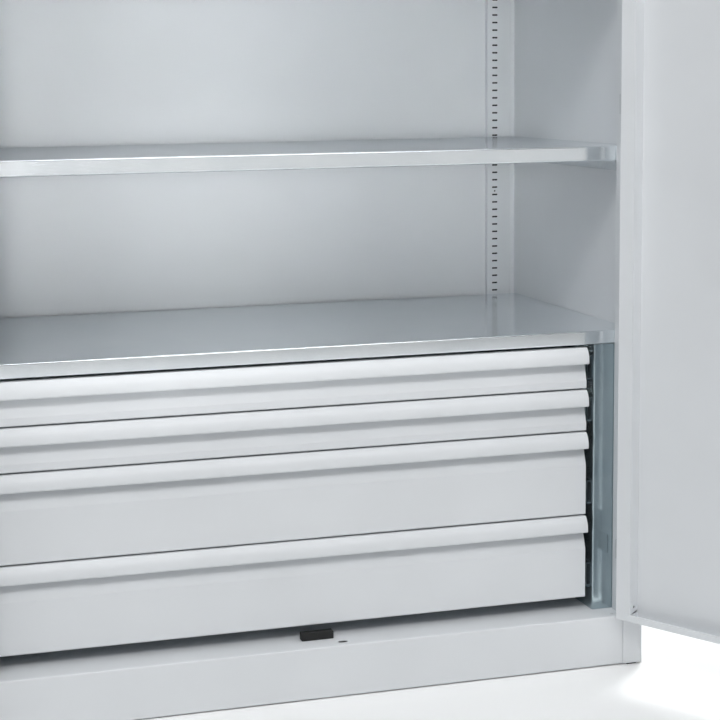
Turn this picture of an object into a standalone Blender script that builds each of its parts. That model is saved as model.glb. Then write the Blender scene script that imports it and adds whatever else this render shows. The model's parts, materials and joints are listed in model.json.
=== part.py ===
# Heavy-duty storage cabinet: a folded sheet-steel carcass with two hinged doors,
# adjustable galvanised shelves and a block of four drawers on telescopic runners.
# Metres, +Z up, the front faces -Y. The origin is on the floor, midway between the sides
# and midway between the front and the back.

import math

import bmesh
import bpy
import numpy as np
from mathutils import Matrix, Vector

# Overall sizes
WIDTH = 1.200
DEPTH = 0.585
HEIGHT = 1.950

# Sheet, folds and fits
SHEET = 0.0012
BACK_SHEET = 0.0010
BEND = 0.0015
FIT = 0.0003
OVERRUN = 0.0100
WELD = 0.0002
BEND_STEPS = 3

# Carcass
FOOT_LIFT = 0.0020
PLINTH_HEIGHT = 0.0880
PLINTH_RETURN = 0.0150
POST_WIDTH = 0.0376
POST_DEPTH = 0.0447
POST_RETURN = 0.0116
REAR_FLANGE = 0.0106
HEADER_HEIGHT = 0.0420
HEADER_RETURN = 0.0110
TOP_REAR_FLANGE = 0.0120
RAIL_WIDTH = 0.0500
RAIL_HEIGHT = 0.0400

# Feet: a pad on the floor and a spigot that plugs into the sheet above it
PAD_SIZE = 0.0180
PAD_INSET = 0.0102
PAD_FRONT_INSET = 0.0005
SPIGOT_SIZE = 0.0120
SPIGOT_HEIGHT = 0.0090
CENTRE_PAD = 0.0400

# Slotted uprights on the back wall
UPRIGHT_WIDTH = 0.0320
UPRIGHT_DEPTH = 0.0115
UPRIGHT_INSET = 0.0308
SLOT_PITCH = 0.0150
SLOT_WIDTH = 0.0120
SLOT_HEIGHT = 0.0040
SLOT_START = 0.0080

# Shelves and the hangers that carry them
SHELF_FOLD = 0.0260
SHELF_RETURN = 0.0160
SHELF_END_GAP = 0.0008
COVER_FOLD = 0.0240
LOWER_SHELF_RISE = 0.3200
SHELF_STEP_SLOTS = 22
SHELF_NAMES = ("lower", "middle", "upper")
HANGER_WIDTH = 0.0130
HANGER_LIP = 0.0180
HANGER_FOOT = 0.0370
HANGER_SHEET = 0.0020
TAB_SIDE_GAP = 0.0005
TAB_REACH = 0.0036

# Drawer housing
HOUSING_HEIGHT = 0.4760
HOUSING_SHEET = 0.0015
HOUSING_REAR_GAP = 0.0052
COLUMN_REVEAL = 0.0379
COLUMN_LAP = 0.0100
COLUMN_RETURN = 0.0120
TIE_HEIGHT = 0.0800
TIE_BACK_GAP = 0.0014

# Telescopic runners
RUNNER_SPACE = 0.0122
RUNNER_HEIGHT = 0.0450
RUNNER_SHEET = 0.0012
RUNNER_REAR_GAP = 0.0155
RUNNER_FRONT_GAP = 0.0300
RACE_GAP = 0.0004
OUTER_REACH = 0.0100
MIDDLE_WEB_GAP = 0.0010
MIDDLE_REACH = 0.0080
INNER_REACH = 0.0070

# Drawers, counted from the bottom
MODULE = 0.0750
MODULE_COUNTS = (2, 2, 1, 1)
LOWEST_GAP = 0.0235
FRONT_GAP = 0.0025
FACE_SETBACK = 0.0030
TOP_PROUD = 0.0010
GRIP_PROUD = 0.0110
GRIP_ARC_DROP = 0.0220
GRIP_HEIGHT = 0.0283
RECESS_DEPTH = 0.0110
CREASE_DROP = 0.0590
FRONT_BOX_DEPTH = 0.0140
FRONT_FLANGE = 0.0190
GRIP_STEPS = 7
TRAY_SHEET = 0.0010
TRAY_REAR_GAP = 0.0047
TRAY_RISE = 0.0060
TRAY_SHORTFALL = 0.0205
RUNNER_RISE = 0.0260

# Doors
DOOR_THICKNESS = 0.0260
DOOR_EDGE_GAP = 0.0030
MEETING_GAP = 0.0030
STILE_WIDTH = 0.0280
LIP_HEIGHT = 0.0120
DOOR_OPEN = math.radians(121)
STRIP_START = 0.0116
STRIP_WIDTH = 0.0565
STRIP_DEPTH = 0.0096
STRIP_GAP = 0.0006
STRIP_END_GAP = 0.0020

# Lift-off hinges
HINGE_PROUD = 0.0040
KNUCKLE_RADIUS = 0.0037
KNUCKLE_LENGTH = 0.0350
PIN_RADIUS = 0.0020
PIN_LENGTH = 0.0240
PIN_CLEARANCE = 0.00012
HINGE_ARM = 0.0016
HINGE_REACH = 0.0290
DOOR_ARM_REACH = 0.0200
ROUND_STEPS = 16
HINGE_END_INSET = 0.1270

# Rubber stop for the meeting strip
STOP_DEPTH = 0.0120
STOP_HEIGHT = 0.0140
STOP_GAP = 0.0013
STOP_CHAMFER = 0.0015

# Lock: handle, cam, two rods and the case over them
LOCK_X = 0.0555
ROD_Y_INSET = 0.0186
LOCK_HEIGHT_SHARE = 0.5
ROD_WIDTH = 0.0140
ROD_THICKNESS = 0.0050
ROD_CLEARANCE = 0.0015
ROD_TRAVEL = 0.0150
ROD_SLOT_LENGTH = 0.0170
ROD_SLOT_WIDTH = 0.0090
CAM_RADIUS = 0.0180
CAM_THICKNESS = 0.0040
CAM_GAP = 0.0030
CAM_PIN_RADIUS = 0.0030
CAM_PIN_CLEARANCE = 0.0007
YOKE_MARGIN = 0.0035
CASE_WIDTH = 0.0500
CASE_HEIGHT = 0.1000
CASE_SHEET = 0.0010
CASE_GAP = 0.0014
SPINDLE_RADIUS = 0.0050
SPINDLE_HOLE = 0.0140
PLATE_WIDTH = 0.0340
PLATE_HEIGHT = 0.1300
PLATE_THICKNESS = 0.0070
HUB_RADIUS = 0.0140
HUB_LENGTH = 0.0240
LEVER_LENGTH = 0.1100
LEVER_WIDTH = 0.0200
LEVER_THICKNESS = 0.0110
LEVER_BEVEL = 0.0030

# Small slots in the ledge beside the posts
DRAIN_LENGTH = 0.0060
DRAIN_WIDTH = 0.0035
DRAIN_SIDE_INSET = 0.0145
DRAIN_FRONT_INSET = 0.0135

# Places worked out from the sizes above
SIDE = WIDTH / 2
FRONT = -DEPTH / 2
REAR = DEPTH / 2
JAMB = SIDE - POST_WIDTH
JAMB_REAR = FRONT + POST_DEPTH
WALL = SIDE - SHEET
FLANGE_REAR = REAR - BACK_SHEET - FIT
FLANGE_FRONT = FLANGE_REAR - SHEET
LEDGE = FOOT_LIFT + PLINTH_HEIGHT
HEADER = HEIGHT - HEADER_HEIGHT
SIDE_TOP = HEIGHT - SHEET - FIT
INSIDE_FRONT = JAMB_REAR + FIT
UPRIGHT_FACE = FLANGE_REAR - UPRIGHT_DEPTH
UPRIGHT_X = WALL - UPRIGHT_INSET - UPRIGHT_WIDTH / 2
COVER_BOTTOM = LEDGE + HOUSING_HEIGHT
COVER_TOP = COVER_BOTTOM + COVER_FOLD
HOUSING_X = JAMB - COLUMN_REVEAL
HOUSING_REAR = UPRIGHT_FACE - HOUSING_REAR_GAP
DRAWER_X = HOUSING_X - RUNNER_SPACE
FACE = INSIDE_FRONT + FACE_SETBACK
TRAY_FRONT = FACE + FRONT_BOX_DEPTH + FIT
TRAY_REAR = HOUSING_REAR - TRAY_REAR_GAP
RUNNER_FRONT = INSIDE_FRONT + RUNNER_FRONT_GAP
RUNNER_REAR = HOUSING_REAR - RUNNER_REAR_GAP
HINGE_Y = FRONT - HINGE_PROUD
DOOR_INNER = FRONT + DOOR_THICKNESS
DOOR_BOTTOM = LEDGE + DOOR_EDGE_GAP
DOOR_TOP = HEADER - DOOR_EDGE_GAP
DOOR_EDGE = JAMB - DOOR_EDGE_GAP
ROD_Y = FRONT + ROD_Y_INSET
LOCK_Z = DOOR_BOTTOM + (DOOR_TOP - DOOR_BOTTOM) * LOCK_HEIGHT_SHARE
CAM_PIN_OFFSET = ROD_TRAVEL / 2


# Finishes

def finish(name, colour, roughness, metallic):
    """A painted, plated or moulded surface."""
    material = bpy.data.materials.new(name)
    material.use_nodes = True
    shader = material.node_tree.nodes["Principled BSDF"]
    shader.inputs["Base Color"].default_value = (*colour, 1.0)
    shader.inputs["Roughness"].default_value = roughness
    shader.inputs["Metallic"].default_value = metallic
    material.diffuse_color = (*colour, 1.0)
    return material


FINISHES = {
    "grey_paint": ((0.58, 0.61, 0.63), 0.45, 0.0),
    "galvanised": ((0.55, 0.60, 0.63), 0.30, 0.9),
    "zinc": ((0.52, 0.54, 0.56), 0.35, 0.9),
    "black_rubber": ((0.02, 0.02, 0.02), 0.80, 0.0),
    "black_plastic": ((0.03, 0.03, 0.03), 0.50, 0.0),
}


# Meshes

def piece(name, mesh, look, pivot=None):
    """One named object with a finish of its own. Its origin goes to the pivot, or to its middle."""
    if pivot is None:
        corners = np.array([v.co for v in mesh.vertices])
        pivot = (corners.min(axis=0) + corners.max(axis=0)) / 2
    pivot = Vector([float(c) for c in pivot])
    mesh.transform(Matrix.Translation(-pivot))
    mesh.materials.clear()
    mesh.materials.append(finish(name + "_" + look, *FINISHES[look]))
    thing = bpy.data.objects.new(name, mesh)
    thing.location = pivot
    bpy.context.collection.objects.link(thing)
    return thing


def to_mesh(bm):
    """A finished mesh with its faces pointing outwards."""
    bmesh.ops.recalc_face_normals(bm, faces=bm.faces)
    mesh = bpy.data.meshes.new("shape")
    bm.to_mesh(mesh)
    bm.free()
    return mesh


def prism(outline, low, high, along):
    """An outline of two coordinates, swept along the third axis from low to high."""
    axis = "xyz".index(along)

    def at(point, level):
        place = list(point)
        place.insert(axis, level)
        return place

    bm = bmesh.new()
    rings = [[bm.verts.new(at(p, level)) for p in outline] for level in (low, high)]
    count = len(outline)
    for i in range(count):
        j = (i + 1) % count
        bm.faces.new((rings[0][i], rings[0][j], rings[1][j], rings[1][i]))
    bm.faces.new(rings[0])
    bm.faces.new(list(reversed(rings[1])))
    return to_mesh(bm)


def fold(points, sheet, keep="right", bend=BEND):
    """The closed outline of a folded sheet. The points are one face of it, with the sheet on the
    side named by keep, and each inner corner becomes an arc."""
    turn_sign = 1 if keep == "right" else -1
    path = [np.array(p, float) for p in points]
    normals = []
    for a, b in zip(path, path[1:]):
        d = (b - a) / np.linalg.norm(b - a)
        normals.append(turn_sign * np.array((d[1], -d[0])))
    face = [path[0]]
    back = [path[0] + normals[0] * sheet]
    for i in range(1, len(path) - 1):
        before, after = normals[i - 1], normals[i]
        d = (path[i] - path[i - 1]) / np.linalg.norm(path[i] - path[i - 1])
        towards = float(np.dot(after, d)) < 0
        radius = bend + sheet if towards else bend
        sign = 1 if towards else -1
        half = math.acos(max(-1.0, min(1.0, float(np.dot(before, after))))) / 2
        middle = (before + after) / np.linalg.norm(before + after)
        centre = path[i] + sign * middle * radius / math.cos(half)
        start = math.atan2(before[1], before[0])
        sweep = math.atan2(before[0] * after[1] - before[1] * after[0], float(np.dot(before, after)))
        for k in range(BEND_STEPS + 1):
            angle = start + sweep * k / BEND_STEPS
            ray = np.array((math.cos(angle), math.sin(angle)))
            face.append(centre - sign * ray * radius)
            back.append(centre - sign * ray * (radius - sign * sheet))
    face.append(path[-1])
    back.append(path[-1] + normals[-1] * sheet)
    return [tuple(p) for p in face + back[::-1]]


def blocks(adds, cuts=()):
    """One solid made of boxes, less other boxes. A box is (x0, x1, y0, y1, z0, z1)."""
    everything = list(adds) + list(cuts)
    grid = []
    for axis in range(3):
        values = sorted({round(float(b[2 * axis + end]), 9) for b in everything for end in (0, 1)})
        grid.append(np.array(values))
    middles = [(g[1:] + g[:-1]) / 2 for g in grid]
    filled = np.zeros([len(m) for m in middles], bool)
    for boxes, value in ((adds, True), (cuts, False)):
        for box in boxes:
            inside = [
                (m > min(box[2 * a : 2 * a + 2])) & (m < max(box[2 * a : 2 * a + 2]))
                for a, m in enumerate(middles)
            ]
            filled[np.ix_(*inside)] = value
    padded = np.pad(filled, 1)
    bm = bmesh.new()
    corners = {}

    def corner(index):
        if index not in corners:
            corners[index] = bm.verts.new([grid[a][index[a]] for a in range(3)])
        return corners[index]

    for axis in range(3):
        u, v = [a for a in range(3) if a != axis]
        step = np.diff(padded.astype(int), axis=axis)
        for cell in np.argwhere(step != 0):
            base = list(cell - 1)
            base[axis] = cell[axis]
            ring = []
            for du, dv in ((0, 0), (1, 0), (1, 1), (0, 1)):
                index = list(base)
                index[u] += du
                index[v] += dv
                ring.append(corner(tuple(int(c) for c in index)))
            bm.faces.new(ring)
    bmesh.ops.dissolve_limit(
        bm, angle_limit=math.radians(1), use_dissolve_boundaries=False, verts=bm.verts, edges=bm.edges
    )
    return to_mesh(bm)


def lathe(profile, centre, steps=ROUND_STEPS):
    """A profile of (radius, height) points turned about the vertical line through centre."""
    bm = bmesh.new()
    rings = []
    for radius, height in profile:
        if radius == 0:
            rings.append([bm.verts.new((centre[0], centre[1], height))])
            continue
        ring = []
        for k in range(steps):
            a = 2 * math.pi * k / steps
            across, back = centre[0] + radius * math.cos(a), centre[1] + radius * math.sin(a)
            ring.append(bm.verts.new((across, back, height)))
        rings.append(ring)
    pairs = list(zip(rings, rings[1:]))
    if profile[0][0] != 0:
        pairs.append((rings[-1], rings[0]))
    for low, high in pairs:
        for k in range(steps):
            n = (k + 1) % steps
            corners = [low[k % len(low)], low[n % len(low)], high[n % len(high)], high[k % len(high)]]
            unique = list(dict.fromkeys(corners))
            if len(unique) > 2:
                bm.faces.new(unique)
    return to_mesh(bm)


def drum(radius, low, high, centre, along="z", steps=ROUND_STEPS):
    """A plain cylinder between two levels of one axis."""
    outline = []
    for k in range(steps):
        a = 2 * math.pi * (k + 0.5) / steps
        outline.append((centre[0] + radius * math.cos(a), centre[1] + radius * math.sin(a)))
    return prism(outline, low, high, along)


def combine(mesh, others, operation):
    """The mesh joined with others, or cut by them."""
    base = bpy.data.objects.new("base", mesh)
    bpy.context.collection.objects.link(base)
    tools = []
    for other in others:
        tool = bpy.data.objects.new("tool", other)
        bpy.context.collection.objects.link(tool)
        tool.hide_render = True
        tool.display_type = "WIRE"
        tools.append(tool)
        change = base.modifiers.new("change", "BOOLEAN")
        change.operation = operation
        change.solver = "EXACT"
        change.object = tool
    bpy.context.view_layer.update()
    result = bpy.data.meshes.new_from_object(base.evaluated_get(bpy.context.evaluated_depsgraph_get()))
    for thing in [base, *tools]:
        bpy.data.objects.remove(thing)
    return result


def bevelled(mesh, width):
    """The mesh with its sharp edges rounded off."""
    bm = bmesh.new()
    bm.from_mesh(mesh)
    sharp = [e for e in bm.edges if len(e.link_faces) == 2 and e.calc_face_angle(0) > math.radians(40)]
    bmesh.ops.bevel(bm, geom=sharp, offset=width, segments=2, profile=0.5, affect="EDGES")
    return to_mesh(bm)


def sided(side, outline):
    """An outline of the right-hand piece, or its mirror image when side is -1."""
    return [(side * x, y) for x, y in outline]


def sided_box(side, x0, x1, y0, y1, z0, z1):
    """A box of the right-hand piece, or its mirror image when side is -1."""
    return (min(side * x0, side * x1), max(side * x0, side * x1), y0, y1, z0, z1)


SIDES = {"left": -1, "right": 1}


# Carcass

def side_panel(name, side):
    """Outer wall with the front post folded from it, and a narrow flange at the back."""
    path = [
        (SIDE - REAR_FLANGE, FLANGE_REAR),
        (SIDE, FLANGE_REAR),
        (SIDE, FRONT),
        (JAMB, FRONT),
        (JAMB, JAMB_REAR),
        (JAMB + POST_RETURN, JAMB_REAR),
    ]
    piece(name, prism(sided(side, fold(path, SHEET)), FOOT_LIFT, SIDE_TOP, "z"), "grey_paint")


def rod_slot(level):
    """Cutter for the round-ended slot that a lock rod passes through."""
    outline = []
    half = ROD_SLOT_WIDTH / 2
    for end in (1, -1):
        centre = LOCK_X + end * (ROD_SLOT_LENGTH / 2 - half)
        for k in range(BEND_STEPS * 2 + 1):
            a = math.pi * (k / (BEND_STEPS * 2) - end / 2)
            outline.append((centre + half * math.cos(a), ROD_Y + half * math.sin(a)))
    return prism(outline, level - OVERRUN, level + OVERRUN, "z")


def top_panel():
    """Lid with the header over the doors, let in between the two posts."""
    path = [
        (JAMB_REAR, HEADER + HEADER_RETURN),
        (JAMB_REAR, HEADER),
        (FRONT, HEADER),
        (FRONT, HEIGHT),
        (FLANGE_REAR, HEIGHT),
        (FLANGE_REAR, HEIGHT - TOP_REAR_FLANGE),
    ]
    lid = prism(fold(path, SHEET), -SIDE, SIDE, "x")
    notches = []
    for side in SIDES.values():
        box = sided_box(
            side, JAMB - FIT, SIDE + OVERRUN, FRONT - OVERRUN, INSIDE_FRONT,
            HEADER - OVERRUN, HEIGHT - SHEET + WELD,
        )
        notches.append(blocks([box]))
        rear = sided_box(
            side, SIDE - REAR_FLANGE - FIT, SIDE + OVERRUN,
            FLANGE_FRONT - OVERRUN, REAR + OVERRUN, HEADER, HEIGHT - SHEET + WELD,
        )
        notches.append(blocks([rear]))
    notches.append(rod_slot(HEADER))
    piece("top_panel", combine(lid, notches, "DIFFERENCE"), "grey_paint")


def base_panel():
    """Floor folded down in front as the plinth, with slots for the lock rod and for drains."""
    path = [
        (FRONT + PLINTH_RETURN, FOOT_LIFT),
        (FRONT, FOOT_LIFT),
        (FRONT, LEDGE),
        (FLANGE_FRONT - BEND, LEDGE),
    ]
    floor = prism(fold(path, SHEET), -(WALL - FIT), WALL - FIT, "x")
    cutters = []
    for side in SIDES.values():
        corner = sided_box(
            side, JAMB - FIT, SIDE + OVERRUN, FRONT - OVERRUN, INSIDE_FRONT, -OVERRUN, LEDGE + OVERRUN
        )
        drain_x = JAMB - DRAIN_SIDE_INSET
        drain_y = FRONT + DRAIN_FRONT_INSET
        drain = sided_box(
            side, drain_x - DRAIN_LENGTH / 2, drain_x + DRAIN_LENGTH / 2,
            drain_y - DRAIN_WIDTH / 2, drain_y + DRAIN_WIDTH / 2, LEDGE - OVERRUN, LEDGE + OVERRUN,
        )
        cutters += [blocks([corner]), blocks([drain])]
    cutters.append(rod_slot(LEDGE))
    piece("base_panel", combine(floor, cutters, "DIFFERENCE"), "grey_paint")


def back_and_plinth():
    """Flat back sheet, the rear plinth and the rail that carries the middle of the floor."""
    back = (-(SIDE - SHEET), SIDE - SHEET, REAR - BACK_SHEET, REAR, FOOT_LIFT, HEIGHT - SHEET)
    piece("back_panel", blocks([back]), "grey_paint")
    top = LEDGE - SHEET - FIT
    rear = FLANGE_REAR
    path = [
        (rear - PLINTH_RETURN, top),
        (rear, top),
        (rear, FOOT_LIFT),
        (rear - PLINTH_RETURN, FOOT_LIFT),
    ]
    reach = SIDE - SHEET - SPIGOT_SIZE - 2 * FIT
    piece("rear_plinth", prism(fold(path, SHEET), -reach, reach, "x"), "grey_paint")
    half = RAIL_WIDTH / 2
    bottom = top - RAIL_HEIGHT
    channel = fold([(-half, top), (-half, bottom), (half, bottom), (half, top)], SHEET, keep="left")
    start = FRONT + PLINTH_RETURN + FIT
    piece("centre_rail", prism(channel, start, rear - PLINTH_RETURN - FIT, "y"), "grey_paint")


def foot(name, x, y, pad, low_top, spigot):
    """Square pad with a smaller spigot on top of it."""
    half = pad / 2
    stub = spigot / 2
    adds = [
        (x - half, x + half, y - half, y + half, 0, low_top),
        (x - stub, x + stub, y - stub, y + stub, 0, low_top + SPIGOT_HEIGHT),
    ]
    piece(name, blocks(adds), "black_plastic", pivot=(x, y, 0))


def feet():
    """A foot in each corner and one under the middle rail."""
    pad_top = FOOT_LIFT - FIT
    x = SIDE - PAD_INSET - PAD_SIZE / 2
    front = FRONT + PAD_FRONT_INSET + PAD_SIZE / 2
    rear = FLANGE_REAR - PAD_SIZE / 2
    for word, side in SIDES.items():
        foot("foot_front_" + word, side * x, front, PAD_SIZE, pad_top, SPIGOT_SIZE)
        rear_x = SIDE - SHEET - FIT - SPIGOT_SIZE / 2
        foot("foot_rear_" + word, side * rear_x, rear - SHEET - FIT, PAD_SIZE, pad_top, SPIGOT_SIZE)
    rail_bottom = LEDGE - SHEET - FIT - RAIL_HEIGHT
    half = CENTRE_PAD / 2
    post = SPIGOT_SIZE
    adds = [
        (-half, half, -half, half, 0, FOOT_LIFT),
        (-post, post, -post, post, 0, rail_bottom - FIT),
    ]
    piece("foot_centre", blocks(adds), "black_plastic", pivot=(0, 0, 0))


def rear_upright(name, side):
    """Channel on the back wall with a ladder of slots above the drawers."""
    low, high = LEDGE + FIT, HEADER
    left, right = UPRIGHT_X - UPRIGHT_WIDTH / 2, UPRIGHT_X + UPRIGHT_WIDTH / 2
    adds = [sided_box(side, left, right, UPRIGHT_FACE, FLANGE_REAR, low, high)]
    cuts = [sided_box(side, left + SHEET, right - SHEET, UPRIGHT_FACE + SHEET, FLANGE_REAR, low, high)]
    level = COVER_TOP + SLOT_START
    while level + SLOT_PITCH < high:
        slot_left, slot_right = UPRIGHT_X - SLOT_WIDTH / 2, UPRIGHT_X + SLOT_WIDTH / 2
        low_edge, high_edge = level - SLOT_HEIGHT / 2, level + SLOT_HEIGHT / 2
        cuts.append(sided_box(side, slot_left, slot_right, UPRIGHT_FACE, FLANGE_REAR, low_edge, high_edge))
        level += SLOT_PITCH
    piece(name, blocks(adds, cuts), "grey_paint")


# Shelves

def shelf(name, top, drop):
    """Galvanised sheet folded down and under along its front and back edges."""
    bottom = top - drop
    rear = UPRIGHT_FACE - FIT
    path = [
        (INSIDE_FRONT + SHELF_RETURN, bottom),
        (INSIDE_FRONT, bottom),
        (INSIDE_FRONT, top),
        (rear, top),
        (rear, bottom),
        (rear - SHELF_RETURN, bottom),
    ]
    reach = WALL - SHELF_END_GAP
    piece(name, prism(fold(path, SHEET), -reach, reach, "x"), "galvanised")


def hanger(name, side, underside):
    """Angle that carries one end of a shelf, hooked into a slot of the rear upright."""
    inner = JAMB + FIT * 2
    outer = inner + HANGER_WIDTH
    top, bottom = underside - FIT, underside - FIT - HANGER_SHEET
    rear = UPRIGHT_FACE - FIT
    tab = SLOT_WIDTH / 2 - TAB_SIDE_GAP
    adds = [
        sided_box(side, inner, outer, INSIDE_FRONT, rear, bottom, top),
        sided_box(side, outer - HANGER_SHEET, outer, INSIDE_FRONT, rear, top - HANGER_LIP, top),
        sided_box(side, UPRIGHT_X - tab, outer, rear - HANGER_FOOT, rear, bottom, top),
        sided_box(side, UPRIGHT_X - tab, UPRIGHT_X + tab, rear - HANGER_FOOT, rear + TAB_REACH, bottom, top),
    ]
    piece(name, blocks(adds), "zinc")


def shelves():
    """The cover over the drawers and three adjustable shelves with their hangers."""
    shelf("cover_shelf", COVER_TOP, COVER_FOLD)
    for i, word in enumerate(SHELF_NAMES):
        top = COVER_TOP + LOWER_SHELF_RISE + i * SHELF_STEP_SLOTS * SLOT_PITCH
        shelf("shelf_" + word, top, SHELF_FOLD)
        for hand, side in SIDES.items():
            hanger("hanger_" + word + "_" + hand, side, top - SHELF_FOLD)


# Drawer block

def drawer_levels():
    """The low and high edge of each drawer front, from the bottom up."""
    low = LEDGE + LOWEST_GAP
    levels = []
    for count in MODULE_COUNTS:
        height = count * MODULE
        levels.append((low, low + height - FRONT_GAP))
        low += height
    return levels


def runner_centre(low):
    """Height of the middle of a drawer's runners."""
    return low + TRAY_RISE + RUNNER_RISE


def housing_side(name, side):
    """Side wall of the drawer block, with the front column folded out and the fixed runners welded on."""
    bottom, top = LEDGE + FIT, COVER_BOTTOM - FIT
    outer = JAMB + COLUMN_LAP
    path = [
        (outer, INSIDE_FRONT + COLUMN_RETURN),
        (outer, INSIDE_FRONT),
        (HOUSING_X, INSIDE_FRONT),
        (HOUSING_X, HOUSING_REAR),
    ]
    wall = prism(sided(side, fold(path, HOUSING_SHEET)), bottom, top, "z")
    web = HOUSING_X + WELD
    reach = HOUSING_X - OUTER_REACH
    runners = []
    for low, _ in drawer_levels():
        middle = runner_centre(low)
        half = RUNNER_HEIGHT / 2
        solid = sided_box(side, reach, web, RUNNER_FRONT, RUNNER_REAR, middle - half, middle + half)
        inner = half - RUNNER_SHEET
        cut = sided_box(
            side, reach, HOUSING_X - RUNNER_SHEET, RUNNER_FRONT, RUNNER_REAR, middle - inner, middle + inner
        )
        runners.append(blocks([solid], [cut]))
    piece(name, combine(wall, runners, "UNION"), "galvanised")


def housing_tie():
    """Channel across the back of the drawer block, between its two side walls."""
    front, rear = HOUSING_REAR + FIT, FLANGE_REAR - TIE_BACK_GAP
    middle = (LEDGE + COVER_BOTTOM) / 2
    low, high = middle - TIE_HEIGHT / 2, middle + TIE_HEIGHT / 2
    path = [(rear, high), (front, high), (front, low), (rear, low)]
    reach = HOUSING_X + HOUSING_SHEET
    piece("housing_tie", prism(fold(path, SHEET, keep="left"), -reach, reach, "x"), "galvanised")


def middle_runner(name, side, low):
    """Middle member of a telescopic runner, nested in the fixed one."""
    middle = runner_centre(low)
    half = RUNNER_HEIGHT / 2 - RUNNER_SHEET - RACE_GAP
    inner = half - RUNNER_SHEET
    web = HOUSING_X - RUNNER_SHEET - MIDDLE_WEB_GAP
    tip = web - MIDDLE_REACH
    solid = sided_box(side, tip, web, RUNNER_FRONT, RUNNER_REAR, middle - half, middle + half)
    cut = sided_box(side, tip, web - RUNNER_SHEET, RUNNER_FRONT, RUNNER_REAR, middle - inner, middle + inner)
    piece(name, blocks([solid], [cut]), "zinc")


def drawer_front(name, low, high):
    """Folded front with a full-width grip along its top edge, a finger recess below it and two
    flanges at its back that are fixed to the tray."""
    crest = FACE - GRIP_PROUD
    start = FACE - TOP_PROUD
    rise = start - crest
    radius = (GRIP_ARC_DROP ** 2 + rise ** 2) / (2 * rise)
    sweep = math.asin(GRIP_ARC_DROP / radius)
    rear = FACE + FRONT_BOX_DEPTH
    path = [(rear, high - FRONT_FLANGE), (rear, high)]
    for k in range(GRIP_STEPS + 1):
        a = sweep * (1 - k / GRIP_STEPS)
        path.append((crest + radius * (1 - math.cos(a)), high - GRIP_ARC_DROP + radius * math.sin(a)))
    path += [
        (crest, high - GRIP_HEIGHT),
        (FACE + RECESS_DEPTH, high - GRIP_HEIGHT),
        (FACE, high - CREASE_DROP),
        (FACE, low),
        (rear, low),
        (rear, low + FRONT_FLANGE),
    ]
    piece(name, prism(fold(path, SHEET, keep="left"), -DRAWER_X, DRAWER_X, "x"), "grey_paint")


def drawer_tray(name, low, high):
    """Open tray with the moving member of a runner welded to each side."""
    bottom = low + TRAY_RISE
    top = bottom + (high - low) - TRAY_SHORTFALL
    side = DRAWER_X - FIT
    front, rear = TRAY_FRONT, TRAY_REAR
    within = side - TRAY_SHEET
    adds = [(-side, side, front, rear, bottom, top)]
    inside = (-within, within, front + TRAY_SHEET, rear - TRAY_SHEET, bottom + TRAY_SHEET, top)
    middle = runner_centre(low)
    half = RUNNER_HEIGHT / 2 - 2 * (RUNNER_SHEET + RACE_GAP)
    inner = half - RUNNER_SHEET
    cuts = [inside]
    start, tip = RUNNER_FRONT, side + INNER_REACH
    for hand in SIDES.values():
        adds.append(sided_box(hand, side, tip, start, rear, middle - half, middle + half))
        cuts.append(sided_box(hand, side + RUNNER_SHEET, tip, start, rear, middle - inner, middle + inner))
    piece(name, blocks(adds, cuts), "galvanised")


def drawers():
    """Numbered from the top, as they are used."""
    levels = drawer_levels()
    for i, (low, high) in enumerate(levels):
        number = str(len(levels) - i)
        drawer_front("drawer_front_" + number, low, high)
        drawer_tray("drawer_tray_" + number, low, high)
        for word, side in SIDES.items():
            middle_runner("runner_" + word + "_" + number, side, low)


# Doors

def hinge_levels():
    """Height at which the two halves of each hinge meet."""
    lower, upper = DOOR_BOTTOM + HINGE_END_INSET, DOOR_TOP - HINGE_END_INSET
    return {"lower": lower, "middle": (lower + upper) / 2, "upper": upper}


def hinge_pin(name, side, level):
    """Body half of a hinge: knuckle, pin and the arm fixed to the post."""
    centre = (side * JAMB, HINGE_Y)
    bottom = level - KNUCKLE_LENGTH
    profile = [
        (0, bottom),
        (KNUCKLE_RADIUS, bottom),
        (KNUCKLE_RADIUS, level - FIT),
        (PIN_RADIUS, level - FIT),
        (PIN_RADIUS, level + PIN_LENGTH),
        (0, level + PIN_LENGTH),
    ]
    arm = sided_box(
        side, JAMB - FIT - HINGE_ARM, JAMB - FIT, HINGE_Y, FRONT + HINGE_REACH,
        bottom + FIT, level - FIT * 2,
    )
    piece(name, combine(lathe(profile, centre), [blocks([arm])], "UNION"), "zinc")


def door_knuckles(side):
    """Door halves of the hinges: sockets on arms that are welded to the door's edge."""
    shapes = []
    centre = (side * JAMB, HINGE_Y)
    hole = PIN_RADIUS / math.cos(math.pi / ROUND_STEPS) + PIN_CLEARANCE
    for level in hinge_levels().values():
        top = level + KNUCKLE_LENGTH
        roof = level + PIN_LENGTH + FIT * 2
        outside = [(0, top), (KNUCKLE_RADIUS, top), (KNUCKLE_RADIUS, level)]
        inside = [(hole, level), (hole, roof), (0, roof)]
        arm_front = HINGE_Y - KNUCKLE_RADIUS / 2 + PIN_RADIUS * 2
        arm = sided_box(
            side, DOOR_EDGE - SHEET / 2, JAMB - PIN_RADIUS / 2, arm_front, FRONT + DOOR_ARM_REACH,
            level + FIT, top - FIT,
        )
        shapes += [lathe(outside + inside, centre), blocks([arm])]
    return shapes


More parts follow.
